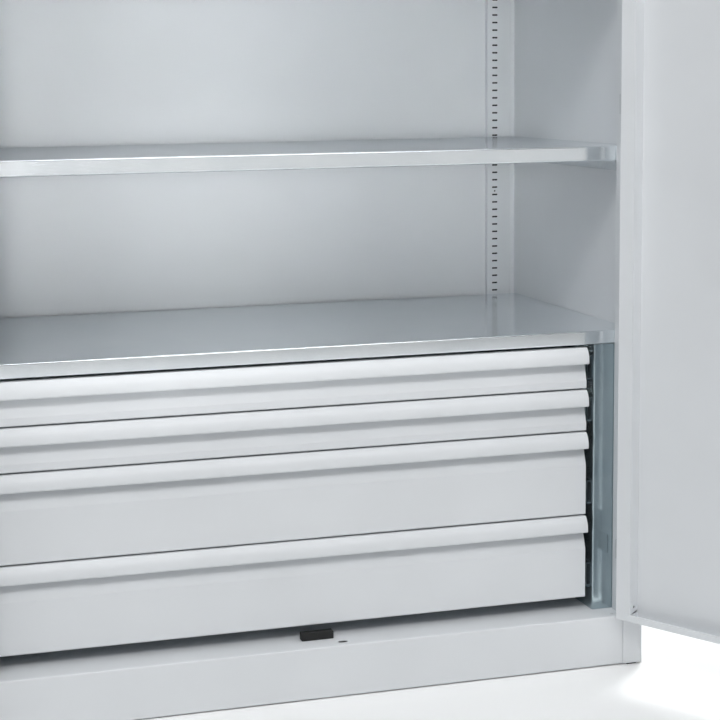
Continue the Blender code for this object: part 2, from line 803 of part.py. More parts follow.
def door_pan(side, locked):
    """Flat skin with deep folded edges: boxed stiles at the sides and a low lip at top and bottom."""
    free = MEETING_GAP / 2
    inner = DOOR_INNER - SHEET
    skin = FRONT + SHEET
    stile_low, stile_high = free + STILE_WIDTH, DOOR_EDGE - STILE_WIDTH
    z0, z1 = DOOR_BOTTOM, DOOR_TOP
    adds = [sided_box(side, free, DOOR_EDGE, FRONT, DOOR_INNER, z0, z1)]
    cuts = [
        sided_box(side, stile_low, stile_high, skin, DOOR_INNER, z0 + LIP_HEIGHT, z1 - LIP_HEIGHT),
        sided_box(side, stile_low, stile_high, skin, inner, z0 + SHEET, z1 - SHEET),
        sided_box(side, free + SHEET, stile_low - SHEET, skin, inner, z0 + SHEET, z1 - SHEET),
        sided_box(side, stile_high + SHEET, DOOR_EDGE - SHEET, skin, inner, z0 + SHEET, z1 - SHEET),
    ]
    for low, high in ((free, stile_low), (stile_high, DOOR_EDGE)):
        drain_x, drain_y = (low + high) / 2, FRONT + DOOR_THICKNESS / 2
        cuts.append(
            sided_box(
                side, drain_x - DRAIN_LENGTH / 2, drain_x + DRAIN_LENGTH / 2,
                drain_y - DRAIN_WIDTH / 2, drain_y + DRAIN_WIDTH / 2, z0, z0 + SHEET,
            )
        )
    if locked:
        half_x = ROD_WIDTH / 2 + ROD_CLEARANCE
        half_y = ROD_THICKNESS / 2 + ROD_CLEARANCE
        rod_hole = (LOCK_X - half_x, LOCK_X + half_x, ROD_Y - half_y, ROD_Y + half_y)
        cuts += [(*rod_hole, z0, z0 + SHEET), (*rod_hole, z1 - SHEET, z1)]
        hole = SPINDLE_HOLE / 2
        cuts.append(sided_box(side, LOCK_X - hole, LOCK_X + hole, FRONT, skin, LOCK_Z - hole, LOCK_Z + hole))
    return combine(blocks(adds, cuts), door_knuckles(side), "UNION")


def hang(thing, pivot):
    """Carries a piece, modelled with the door shut, on the door's hinge line."""
    thing.location = thing.location - pivot["axis"]
    thing.parent = pivot["empty"]


def hinge_line(word, side):
    """The vertical axis a door turns on, opened to the angle it stands at."""
    empty = bpy.data.objects.new("hinge_line_" + word, None)
    empty.location = (side * JAMB, HINGE_Y, 0)
    empty.rotation_euler = (0, 0, side * DOOR_OPEN)
    bpy.context.collection.objects.link(empty)
    return {"empty": empty, "axis": Vector((side * JAMB, HINGE_Y, 0))}


def meeting_strip():
    """Channel on the shut edge of the left door, which laps behind the right door."""
    start, end = -STRIP_START, STRIP_WIDTH - STRIP_START
    face = DOOR_INNER + STRIP_GAP
    back = face + STRIP_DEPTH
    path = [(start, face), (start, back), (end, back), (end, face)]
    low, high = DOOR_BOTTOM + STRIP_END_GAP, DOOR_TOP - STRIP_END_GAP
    return piece("meeting_strip", prism(fold(path, SHEET), low, high, "z"), "grey_paint")


def stop_block():
    """Rubber block on the ledge that the meeting strip closes against."""
    start, end = -STRIP_START, STRIP_WIDTH - STRIP_START
    front = DOOR_INNER + STRIP_GAP + STRIP_DEPTH + STOP_GAP
    low, high = LEDGE + FIT, LEDGE + FIT + STOP_HEIGHT
    cut = STOP_CHAMFER
    outline = [
        (start + cut, low),
        (end, low),
        (end, high - cut),
        (end - cut, high),
        (start, high),
        (start, low + cut),
    ]
    piece("stop_block", prism(outline, front, front + STOP_DEPTH, "y"), "black_rubber")


# Lock

def lock_rod(name, up):
    """Flat rod with a yoke round one pin of the cam. The upper rod has its yoke beside the lower one's."""
    way = 1 if up else -1
    end = DOOR_TOP - SHEET / 2 if up else DOOR_BOTTOM + SHEET / 2
    y0, y1 = ROD_Y - ROD_THICKNESS / 2, ROD_Y + ROD_THICKNESS / 2
    hand = -way
    pin_z = LOCK_Z - way * CAM_PIN_OFFSET
    pin_reach = math.sqrt(2) * CAM_PIN_OFFSET
    room = CAM_PIN_RADIUS + CAM_PIN_CLEARANCE
    slot_in, slot_out = CAM_PIN_OFFSET - room, pin_reach + room
    yoke_in, yoke_out = slot_in - YOKE_MARGIN + CAM_PIN_CLEARANCE, slot_out + YOKE_MARGIN
    yoke_low, yoke_high = pin_z - room - YOKE_MARGIN, pin_z + room + YOKE_MARGIN
    neck = LOCK_Z + way * (CAM_PIN_OFFSET * 2 + YOKE_MARGIN * 2)
    bar = sorted((neck, end))
    shank = sorted((pin_z, neck + way * YOKE_MARGIN * 2))
    x0, x1 = sorted((LOCK_X + hand * yoke_in, LOCK_X + hand * yoke_out))
    s0, s1 = sorted((LOCK_X + hand * slot_in, LOCK_X + hand * slot_out))
    adds = [
        (LOCK_X - ROD_WIDTH / 2, LOCK_X + ROD_WIDTH / 2, y0, y1, *bar),
        (x0, x1, y0, y1, *shank),
        (x0, x1, y0, y1, yoke_low, yoke_high),
    ]
    cuts = [(s0, s1, y0, y1, pin_z - room, pin_z + room)]
    return piece(name, blocks(adds, cuts), "zinc")


def lock_cam():
    """Disc on the handle's spindle with a pin for each rod."""
    rear = ROD_Y - ROD_THICKNESS / 2 - CAM_GAP
    disc = drum(CAM_RADIUS, rear - CAM_THICKNESS, rear, (LOCK_X, LOCK_Z), "y")
    pins = []
    for way in (1, -1):
        place = (LOCK_X + way * CAM_PIN_OFFSET, LOCK_Z + way * CAM_PIN_OFFSET)
        pins.append(drum(CAM_PIN_RADIUS, rear - CAM_THICKNESS / 2, ROD_Y + ROD_THICKNESS / 2, place, "y"))
    return piece("lock_cam", combine(disc, pins, "UNION"), "zinc", pivot=(LOCK_X, FRONT, LOCK_Z))


def lock_case():
    """Cover over the cam on the inside of the door, open for the rods."""
    x0, x1 = LOCK_X - CASE_WIDTH / 2, LOCK_X + CASE_WIDTH / 2
    z0, z1 = LOCK_Z - CASE_HEIGHT / 2, LOCK_Z + CASE_HEIGHT / 2
    y0, y1 = FRONT + SHEET + FIT, DOOR_INNER - CASE_GAP
    adds = [(x0, x1, y0, y1, z0, z1)]
    half = ROD_WIDTH / 2 + ROD_CLEARANCE
    rod_rear = ROD_Y + ROD_THICKNESS / 2 + CASE_SHEET
    cuts = [
        (x0 + CASE_SHEET, x1 - CASE_SHEET, y0, y1 - CASE_SHEET, z0 + CASE_SHEET, z1 - CASE_SHEET),
        (LOCK_X - half, LOCK_X + half, y0, rod_rear, z0, z1),
    ]
    return piece("lock_case", blocks(adds, cuts), "galvanised")


def door_handle():
    """Lever on its spindle, lying level while the rods are drawn in."""
    plate_face = FRONT - FIT - PLATE_THICKNESS
    hub_end = plate_face - FIT - HUB_LENGTH
    cam_front = ROD_Y - ROD_THICKNESS / 2 - CAM_GAP - CAM_THICKNESS
    hub = drum(HUB_RADIUS, hub_end, plate_face - FIT, (LOCK_X, LOCK_Z), "y")
    spindle = drum(SPINDLE_RADIUS, hub_end + HUB_LENGTH / 2, cam_front - FIT, (LOCK_X, LOCK_Z), "y")
    half = LEVER_WIDTH / 2
    tip = LOCK_X + LEVER_LENGTH
    lever = blocks([(LOCK_X, tip, hub_end - FIT, hub_end + LEVER_THICKNESS, LOCK_Z - half, LOCK_Z + half)])
    shape = combine(hub, [spindle, bevelled(lever, LEVER_BEVEL)], "UNION")
    return piece("door_handle", shape, "black_plastic", pivot=(LOCK_X, FRONT, LOCK_Z))


def handle_plate():
    """Plate with round ends behind the handle, bored for the spindle."""
    radius = PLATE_WIDTH / 2
    outline = []
    for end in (1, -1):
        for k in range(ROUND_STEPS // 2 + 1):
            a = math.pi * k / (ROUND_STEPS // 2) + (0 if end == 1 else math.pi)
            middle = LOCK_Z + end * (PLATE_HEIGHT / 2 - radius)
            outline.append((LOCK_X + radius * math.cos(a), middle + radius * math.sin(a)))
    plate = prism(outline, FRONT - FIT - PLATE_THICKNESS, FRONT - FIT, "y")
    bore = drum(
        SPINDLE_RADIUS + FIT * 2, FRONT - PLATE_THICKNESS - OVERRUN, FRONT + OVERRUN, (LOCK_X, LOCK_Z), "y"
    )
    return piece("handle_plate", combine(plate, [bore], "DIFFERENCE"), "black_plastic")


def doors():
    """Both doors with their hinges, and the lock on the right one."""
    for word, side in SIDES.items():
        line = hinge_line(word, side)
        pivot = (side * JAMB, HINGE_Y, 0)
        hang(piece("door_" + word, door_pan(side, side == 1), "grey_paint", pivot=pivot), line)
        for height, level in hinge_levels().items():
            hinge_pin("hinge_pin_" + word + "_" + height, side, level)
        if side == 1:
            for part in (lock_rod("lock_rod_upper", True), lock_rod("lock_rod_lower", False)):
                hang(part, line)
            for part in (lock_case(), handle_plate(), lock_cam(), door_handle()):
                hang(part, line)
        else:
            hang(meeting_strip(), line)


# Assembly

for old in list(bpy.data.objects):
    bpy.data.objects.remove(old)

for hand_word, hand_side in SIDES.items():
    side_panel("side_panel_" + hand_word, hand_side)
    rear_upright("rear_upright_" + hand_word, hand_side)
    housing_side("housing_side_" + hand_word, hand_side)
top_panel()
base_panel()
back_and_plinth()
feet()
shelves()
housing_tie()
drawers()
stop_block()
doors()
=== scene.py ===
import json
import math

import bmesh
import bpy
from mathutils import Matrix, Vector


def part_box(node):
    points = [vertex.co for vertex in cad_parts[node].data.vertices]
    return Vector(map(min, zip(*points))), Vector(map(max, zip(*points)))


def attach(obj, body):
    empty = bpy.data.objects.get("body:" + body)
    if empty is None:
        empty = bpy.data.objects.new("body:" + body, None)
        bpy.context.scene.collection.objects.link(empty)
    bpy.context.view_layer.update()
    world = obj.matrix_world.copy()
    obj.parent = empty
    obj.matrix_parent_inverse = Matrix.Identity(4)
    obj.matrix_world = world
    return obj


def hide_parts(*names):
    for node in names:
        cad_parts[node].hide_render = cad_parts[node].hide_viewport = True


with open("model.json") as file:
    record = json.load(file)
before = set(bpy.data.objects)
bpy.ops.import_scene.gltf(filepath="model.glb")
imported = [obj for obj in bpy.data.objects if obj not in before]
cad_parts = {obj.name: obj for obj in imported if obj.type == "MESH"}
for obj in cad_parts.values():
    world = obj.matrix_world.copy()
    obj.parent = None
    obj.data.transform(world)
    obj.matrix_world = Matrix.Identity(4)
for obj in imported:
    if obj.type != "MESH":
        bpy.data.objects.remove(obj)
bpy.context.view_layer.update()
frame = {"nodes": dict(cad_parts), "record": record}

NODES = frame["nodes"]
MM = 0.001
QUARTER_TURN = math.pi / 2
HALF = (0.5, 0.5, 0.5)

# Camera: before the cabinet's left half and a little above its middle, turned right and tipped down
CAMERA_PLACE = (-0.72277, -2.87859, 1.02995)
CAMERA_LENS = 83.532
CAMERA_SENSOR = 36.0
CAMERA_YAW = math.radians(15.7604)
CAMERA_PITCH = math.radians(6.8846)
CAMERA_ROLL = math.radians(-0.6915)
CAMERA_SHIFT = (0.06396, -0.11)

# Surround: the sheets mirror a flat band of glow, low in front and to the right, and a pale backdrop
# behind the cabinet. The camera itself sees one even pale tone.
GLOW_AIM = Vector((0.36, -0.92, -0.3))
GLOW_FLATNESS = 3.0
GLOW_EDGE, GLOW_CORE = 0.72, 0.97
DIM, GLOW, BACKDROP = 0.02, 0.66, 0.85
BACKDROP_CORE = 0.6
PALE_SURROUND = 0.80
SURROUND_HEX = "FFFFFF"
FLOOR_HEX = "F8F9F9"
FLOOR_ROUGHNESS = 0.9
FLOOR_SIZE = 14.0

# Lamps: place, the point it faces, width and height, watts, and the angle its grid lets through.
# The two keys and the fill light the fronts from both sides, the overhead one what faces up at the
# front, the two bay lamps the open bays alone, and the last one the floor behind to the right.
NO_GRID = 180
LAMPS = {
    "key": ((-1.9, -4.8, 3.2), (0.2, 0.0, 0.7), (2.0, 1.6), 30, NO_GRID),
    "high_key": ((-1.9, -4.4, 5.0), (0.1, -0.2, 0.6), (2.4, 1.8), 39, 90),
    "fill": ((1.5, -4.6, 4.7), (0.1, -0.2, 0.6), (2.0, 1.6), 14, 90),
    "overhead": ((0.2, -0.9, 3.6), (0.0, -0.7, 0.0), (2.4, 0.8), 27, NO_GRID),
    "bays": ((-0.8, -2.6, 1.3), (-0.35, 0.2, 1.24), (0.8, 1.3), 1.4, 12),
    "bays_side": ((-1.2, -2.5, 1.3), (0.3, 0.2, 1.24), (0.7, 1.3), 1.2, 12),
    "floor_wash": ((3.0, 2.6, 2.6), (1.4, 0.6, 0.0), (1.6, 1.2), 16, 40),
}


# Colours and nodes

def linear(hexes):
    """An sRGB hex value as linear red, green, blue and alpha."""
    channels = [int(hexes[i : i + 2], 16) / 255 for i in (0, 2, 4)]
    return (*(c / 12.92 if c <= 0.04045 else ((c + 0.055) / 1.055) ** 2.4 for c in channels), 1.0)


def feed(tree, node, inputs):
    """Fills a node's inputs. Each gets a plain value, an output to link, a node whose first output is
    linked, or a list of these."""
    for key, value in inputs.items():
        for source in value if isinstance(value, list) else [value]:
            if isinstance(source, bpy.types.Node):
                source = source.outputs[0]
            if isinstance(source, bpy.types.NodeSocket):
                tree.links.new(source, node.inputs[key])
            else:
                node.inputs[key].default_value = source


def add(tree, kind, inputs=None, **settings):
    """Adds a node with its settings and fills its inputs."""
    made = tree.nodes.new(kind)
    for name, value in settings.items():
        setattr(made, name, value)
    feed(tree, made, inputs or {})
    return made


# Finishes: the size of each pattern, and how strongly it shows

MOTTLE_STOPS = (0.35, 0.65)
COAT_CLOUD = 180 * MM
COAT_PEEL = 2.2 * MM
COAT_PEEL_DEPTH = 0.1 * MM
COAT_PEEL_STRENGTH = 0.06
SPANGLE = 8 * MM
SPANGLE_LIFT = 0.25
SPANGLE_CLOUD = 90 * MM
GALVANISED_METALLIC = 0.88
ROLLING_MARK = 6 * MM
ROLLING_STRETCH = 12.0
PRIMER_GRAIN = 1.5 * MM
PRIMER_METALLIC = 0.1
GRAIN_RAGGEDNESS = 0.6
GRAIN_DEPTH = 0.05 * MM
GRAIN_STRENGTH = 0.25


def new_material(name):
    """An empty material with its shader and the coordinates its patterns read."""
    material = bpy.data.materials.new(name)
    material.use_nodes = True
    tree = material.node_tree
    shader = tree.nodes["Principled BSDF"]
    place = add(tree, "ShaderNodeTexCoord").outputs["Object"]
    return material, tree, shader, place


def mottle(tree, shader, cloud, colours, wear, roughness):
    """One pattern moves a finish between two hex colours, and one between two degrees of roughness."""
    tone = add(tree, "ShaderNodeValToRGB", {"Fac": cloud})
    for stop, position, colour in zip(tone.color_ramp.elements, MOTTLE_STOPS, colours):
        stop.color = linear(colour)
        stop.position = position
    gloss = add(tree, "ShaderNodeMapRange", {"Value": wear, "To Min": roughness[0], "To Max": roughness[1]})
    feed(tree, shader, {"Base Color": tone, "Roughness": gloss})


def powder_coat(name, colours, roughness):
    """Light grey polyester powder on sheet steel, sprayed and baked. It gives a satin sheen with a
    fine orange peel, drawn at about 2 mm, a little coarser than the real one."""
    material, tree, shader, place = new_material(name)
    peel = add(tree, "ShaderNodeTexNoise", {"Vector": place, "Scale": 1 / COAT_PEEL, "Detail": 3.0})
    cloud = add(tree, "ShaderNodeTexNoise", {"Vector": place, "Scale": 1 / COAT_CLOUD, "Detail": 2.0})
    mottle(tree, shader, cloud, colours, cloud, roughness)
    relief = {"Height": peel, "Strength": COAT_PEEL_STRENGTH, "Distance": COAT_PEEL_DEPTH}
    feed(tree, shader, {"Normal": add(tree, "ShaderNodeBump", relief)})
    return material


def galvanised(name, colours, roughness):
    """Hot-dip galvanised sheet, skin-passed: a cool grey metal with a faint spangle of 8 mm and a
    soft mirror sheen."""
    material, tree, shader, place = new_material(name)
    spangle = add(tree, "ShaderNodeTexVoronoi", {"Vector": place, "Scale": 1 / SPANGLE})
    cell = add(tree, "ShaderNodeSeparateColor", {"Color": spangle.outputs["Color"]}).outputs["Red"]
    cloud = add(tree, "ShaderNodeTexNoise", {"Vector": place, "Scale": 1 / SPANGLE_CLOUD, "Detail": 3.0})
    wear = add(tree, "ShaderNodeMath", {0: cell, 1: cloud, 2: SPANGLE_LIFT}, operation="MULTIPLY_ADD")
    mottle(tree, shader, cloud, colours, wear, roughness)
    feed(tree, shader, {"Metallic": GALVANISED_METALLIC})
    return material


def zinc_plate(name, colours, roughness):
    """Bright electroplated zinc on pressed steel: a little bluish, with fine rolling marks."""
    material, tree, shader, place = new_material(name)
    stretched = add(tree, "ShaderNodeMapping", {"Vector": place, "Scale": (1.0, 1.0, ROLLING_STRETCH)})
    marks = add(tree, "ShaderNodeTexNoise", {"Vector": stretched, "Scale": 1 / ROLLING_MARK, "Detail": 4.0})
    mottle(tree, shader, marks, colours, marks, roughness)
    feed(tree, shader, {"Metallic": 1.0})
    return material


def zinc_primer(name, colours, roughness):
    """Zinc-rich primer sprayed on the welded hinges: a light matt grey with a fine dry grain."""
    material, tree, shader, place = new_material(name)
    grain = add(tree, "ShaderNodeTexNoise", {"Vector": place, "Scale": 1 / PRIMER_GRAIN, "Detail": 3.0})
    mottle(tree, shader, grain, colours, grain, roughness)
    feed(tree, shader, {"Metallic": PRIMER_METALLIC})
    return material


def dull_grain(name, colours, roughness, size):
    """A dark, dull surface with a fine grain: the eroded one of a mould, on rubber and plastic. It
    also colours the dark sheet of painted shade behind the upright slots."""
    material, tree, shader, place = new_material(name)
    pattern = {"Vector": place, "Scale": 1 / size, "Detail": 4.0, "Roughness": GRAIN_RAGGEDNESS}
    grain = add(tree, "ShaderNodeTexNoise", pattern)
    mottle(tree, shader, grain, colours, grain, roughness)
    relief = {"Height": grain, "Strength": GRAIN_STRENGTH, "Distance": GRAIN_DEPTH}
    feed(tree, shader, {"Normal": add(tree, "ShaderNodeBump", relief)})
    return material


PAINT = powder_coat("light_grey_powder_coat", ("D9DCDF", "DCDFE2"), (0.37, 0.43))
DRAWER_PAINT = powder_coat("light_grey_drawer_powder_coat", ("D9DCDF", "DCDFE2"), (0.35, 0.41))
SHELF_METAL = galvanised("galvanised_shelf_sheet", ("E8EEF2", "EEF3F6"), (0.11, 0.20))
# The housing's galvanised sheet is a darker, bluer copy of the shelves' tones: painted shade and dark
# reflection for its front column.
HOUSING_METAL_SHADED = galvanised("galvanised_housing_sheet", ("A4B3B9", "B0BEC3"), (0.11, 0.20))
ZINC = zinc_plate("zinc_plated_steel", ("A9AEB2", "C3C8CB"), (0.24, 0.36))
HINGE_PRIMER = zinc_primer("zinc_rich_primer", ("C9CCCF", "D2D5D7"), (0.50, 0.60))
RUBBER = dull_grain("moulded_black_rubber", ("151616", "1C1D1D"), (0.57, 0.67), 1.2 * MM)
PLASTIC = dull_grain("moulded_black_polyamide", ("17181A", "1F2022"), (0.43, 0.53), 0.8 * MM)
# A near-black sheet finish: painted shade, for the dark inside of the uprights behind their slots.
SLOT_SHADE_DARK = dull_grain("uncoated_rolled_steel", ("24272A", "2C3033"), (0.57, 0.67), 3 * MM)

FINISH_OF_SLOT = {
    "carcass_paint": PAINT,
    "door_paint": PAINT,
    "drawer_paint": DRAWER_PAINT,
    "shelf_galvanised": SHELF_METAL,
    "housing_galvanised": HOUSING_METAL_SHADED,
    "tray_galvanised": SHELF_METAL,
    "lock_case_galvanised": SHELF_METAL,
    "runner_zinc": ZINC,
    "hanger_zinc": ZINC,
    "hinge_zinc": HINGE_PRIMER,
    "lock_zinc": ZINC,
    "handle_plastic": PLASTIC,
    "foot_plastic": PLASTIC,
    "stop_rubber": RUBBER,
}
SLOT_OF_NODE = {row["node"]: row["material_slot"] for row in frame["record"]["subparts"]}
BODY_OF_NODE = {
    node: body for body, members in frame["record"]["behaviour"]["bodies"].items() for node in members
}


# Meshes and objects

def as_mesh(bm, name):
    """Turns a mesh that was being edited into a finished one."""
    mesh = bpy.data.meshes.new(name)
    bm.to_mesh(mesh)
    bm.free()
    return mesh


def put(name, data):
    """Adds an object to the scene."""
    thing = bpy.data.objects.new(name, data)
    bpy.context.scene.collection.objects.link(thing)
    return thing


def with_modifiers(holder):
    """Takes the mesh that an object's modifiers give, and removes the object."""
    bpy.context.view_layer.update()
    graph = bpy.context.evaluated_depsgraph_get()
    mesh = bpy.data.meshes.new_from_object(holder.evaluated_get(graph))
    bpy.data.objects.remove(holder)
    return mesh


def block(low, high):
    """A closed box, from its low to its high corner."""
    bm = bmesh.new()
    bmesh.ops.create_cube(bm, size=1.0)
    bmesh.ops.scale(bm, vec=[b - a for a, b in zip(low, high)], verts=bm.verts)
    bmesh.ops.translate(bm, vec=[(a + b) / 2 for a, b in zip(low, high)], verts=bm.verts)
    return bm


def changed(mesh, tools, way):
    """A mesh with solid tools taken out of it, or joined to it."""
    holder = put("holder", mesh)
    helpers = []
    for tool in tools:
        helper = put("tool", tool)
        helpers.append(helper)
        step = holder.modifiers.new("step", "BOOLEAN")
        step.operation = way
        step.solver = "EXACT"
        step.object = helper
    result = with_modifiers(holder)
    for helper in helpers:
        bpy.data.objects.remove(helper)
    return result


# Sheet-metal pieces: copies of the CAD meshes with soft bends

MERGE = 0.01 * MM
FLAT_ANGLE = math.radians(0.5)
FOLD_ANGLE = math.radians(60)
SMOOTH_ANGLE = math.radians(38)
BROAD_RADII = 3
SOFT_STEPS = 3
SOFT_EDGES = {
    "stop_block": 1.2 * MM,
    "door_handle": 2.0 * MM,
    "handle_plate": 1.5 * MM,
}
MADE_APART = ("rear_upright", "door_left", "door_right")


def merged(node):
    """The CAD mesh of a node, sewn together, with its flat faces made whole."""
    bm = bmesh.new()
    bm.from_mesh(NODES[node].data)
    bmesh.ops.remove_doubles(bm, verts=bm.verts, dist=MERGE)
    bmesh.ops.dissolve_limit(
        bm, angle_limit=FLAT_ANGLE, use_dissolve_boundaries=False, verts=bm.verts, edges=bm.edges
    )
    return bm


def broad(face, least):
    """Whether a face is at least this wide in both directions."""
    return face.calc_area() / max(e.calc_length() for e in face.edges) > least


def soften(bm, radius):
    """Rounds the outer edges between two broad faces, as a press brake leaves them."""
    edges = []
    least = BROAD_RADII * radius
    for edge in bm.edges:
        if len(edge.link_faces) != 2 or not edge.is_convex:
            continue
        if edge.calc_face_angle(0) > FOLD_ANGLE and all(broad(f, least) for f in edge.link_faces):
            edges.append(edge)
    if edges:
        shape = {"offset": radius, "segments": SOFT_STEPS, "profile": 0.5, "clamp_overlap": True}
        bmesh.ops.bevel(bm, geom=edges, affect="EDGES", **shape)


def stand_for(node, mesh):
    """Shows a mesh in place of a CAD node, with the node's finish and even shading."""
    slot = SLOT_OF_NODE[node]
    mesh.shade_smooth()
    mesh.set_sharp_from_angle(angle=SMOOTH_ANGLE)
    mesh.materials.clear()
    mesh.materials.append(FINISH_OF_SLOT[slot])
    piece = put(node + "_sheet", mesh)
    weigh = piece.modifiers.new("even_shading", "WEIGHTED_NORMAL")
    weigh.keep_sharp = True
    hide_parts(node)
    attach(piece, BODY_OF_NODE[node])


def dressed(node, radius=0.0, cuts=(), hems=()):
    """A finer piece that stands for a CAD node: its edges are rounded, its bends smooth, and it may
    have tools cut out of it and hems joined to it."""
    bm = merged(node)
    if radius:
        soften(bm, radius)
    mesh = as_mesh(bm, node + "_sheet")
    if cuts:
        mesh = changed(mesh, cuts, "DIFFERENCE")
    if hems:
        mesh = changed(mesh, hems, "UNION")
    stand_for(node, mesh)


def finish_cad_nodes():
    """Every CAD node gets its finish."""
    for name, thing in NODES.items():
        thing.data.materials.clear()
        thing.data.materials.append(FINISH_OF_SLOT[SLOT_OF_NODE[name]])


def dress_sheets():
    """Painted and galvanised pieces are shown with smooth bends, and three others with soft edges."""
    for name in NODES:
        if name.startswith(MADE_APART):
            continue
        if SLOT_OF_NODE[name].endswith(("_paint", "_galvanised")) or name in SOFT_EDGES:
            dressed(name, SOFT_EDGES.get(name, 0.0))


# Doors: the pan's small openings, cut while it is thought shut and then swung with it

DOOR_SHEET = 1.2 * MM
DOOR_DEPTH = 26 * MM
DOOR_SOFTNESS = 1.0 * MM
STILE = 28 * MM
LIP = 12 * MM
# The hinge line stands this far beyond the pan's edge, and this far before its skin
HINGE_BEYOND = 3 * MM
HINGE_PROUD = 4 * MM
PAN_HOLE_RADIUS = 2.4 * MM
PAN_HOLE_RISE = 24 * MM
PAN_HOLE_REACH = 3 * DOOR_SHEET
PAN_HOLE_CORNERS = 24
RELIEF = 5 * MM
RELIEF_REACH = 1.5 * DOOR_SHEET
RELIEF_INSET = 2 * DOOR_SHEET
HEM = 1.6 * MM
HEM_DEPTH = 3 * MM
HEM_OVERLAP = 0.05 * MM


def hinge_of(node):
    """The joint a door turns on."""
    joints = frame["record"]["behaviour"]["joints"]
    return next(j for j in joints if j["type"] == "hinge" and j["child"] == BODY_OF_NODE[node])


def swing(joint):
    """Carries the shut door to the angle it stands at."""
    axis = Vector(joint["pos_m"])
    angle = -math.radians(joint["range_deg"][0]) * joint["axis"][2]
    return Matrix.Translation(axis) @ Matrix.Rotation(angle, 4, "Z") @ Matrix.Translation(-axis)


def swung(bm, place):
    """A closed tool with its faces outwards, carried along with the door."""
    bmesh.ops.recalc_face_normals(bm, faces=bm.faces)
    mesh = as_mesh(bm, "tool")
    mesh.transform(place)
    return mesh


def round_cut(centre, radius, length):
    """A short bar along X."""
    bm = bmesh.new()
    turn = Matrix.Translation(centre) @ Matrix.Rotation(QUARTER_TURN, 4, "Y")
    size = {"radius1": radius, "radius2": radius, "depth": length}
    bmesh.ops.create_cone(bm, cap_ends=True, segments=PAN_HOLE_CORNERS, matrix=turn, **size)
    return bm


def wedge_cut(x_low, x_high, corners):
    """A prism along X over corners given in Y and Z."""
    bm = bmesh.new()
    ends = [[bm.verts.new((x, y, z)) for y, z in corners] for x in (x_low, x_high)]
    bm.faces.new(ends[0])
    bm.faces.new(ends[1])
    for i in range(len(corners)):
        j = (i + 1) % len(corners)
        bm.faces.new((ends[0][i], ends[0][j], ends[1][j], ends[1][i]))
    return bm


def stile_cuts(x, front, back, low):
    """The round hole and the corner relief in a stile's inner wall, at the foot of the shut door."""
    hole = round_cut((x, (front + back) / 2, low + PAN_HOLE_RISE), PAN_HOLE_RADIUS, PAN_HOLE_REACH)
    near, far = back - DOOR_SHEET, front + RELIEF_INSET
    corners = [(near, low + LIP), (far, low + LIP), (far, low + LIP + RELIEF)]
    return hole, wedge_cut(x - RELIEF_REACH, x + RELIEF_REACH, corners)


def lip_hems(ends, back, low, high):
    """The hems that thicken the free edges of the lower and the upper lip, from stile to stile."""
    hems = []
    inner = back - DOOR_SHEET / 2
    for top in (low + LIP - HEM_OVERLAP, high - LIP + HEM_DEPTH):
        bottom = top - HEM_DEPTH + HEM_OVERLAP
        hems.append(block((ends[0], inner - HEM, bottom), (ends[1], inner, top)))
    return hems


def doors():
    """Both door pans, with their holes, corner reliefs and hems."""
    for node in ("door_left", "door_right"):
        joint = hinge_of(node)
        place = swing(joint)
        shut = [place.inverted() @ v.co for v in NODES[node].data.vertices]
        side = 1 if joint["pos_m"][0] > 0 else -1
        free = min(side * c.x for c in shut)
        edge = abs(joint["pos_m"][0]) - HINGE_BEYOND
        front = joint["pos_m"][1] + HINGE_PROUD
        back = front + DOOR_DEPTH
        low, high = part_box(node)[0][2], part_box(node)[1][2]
        walls = [side * (free + STILE - DOOR_SHEET / 2), side * (edge - STILE + DOOR_SHEET / 2)]
        cuts = [swung(cut, place) for x in walls for cut in stile_cuts(x, front, back, low)]
        hems = [swung(hem, place) for hem in lip_hems(sorted(walls), back, low, high)]
        dressed(node, DOOR_SOFTNESS, cuts, hems)


# Rear uprights: a punched ladder of waisted slots in a shallow channel

SLOT_PITCH = 15 * MM
SLOT_LENGTH = 12 * MM
SLOT_HEIGHT = 4.2 * MM
SLOT_WAIST = 0.25
SLOT_SQUARENESS = 0.55
SLOT_CORNERS = 28
WAIST_POWER = 3.0
FIRST_SLOT_RISE = 8 * MM
UPRIGHT_SHEET = 1.2 * MM
MARK_RADIUS = 1.8 * MM
MARK_PITCHES = 13.5
MARK_CORNERS = 16
STRIP_INSET = 2 * UPRIGHT_SHEET
STRIP_BACK_GAP = 0.2 * MM
LADDER_SIZES = (
    "Width", "Height", "Depth", "First Slot", "Pitch", "Slot Length", "Slot Height", "Waist", "Mark Height"
)


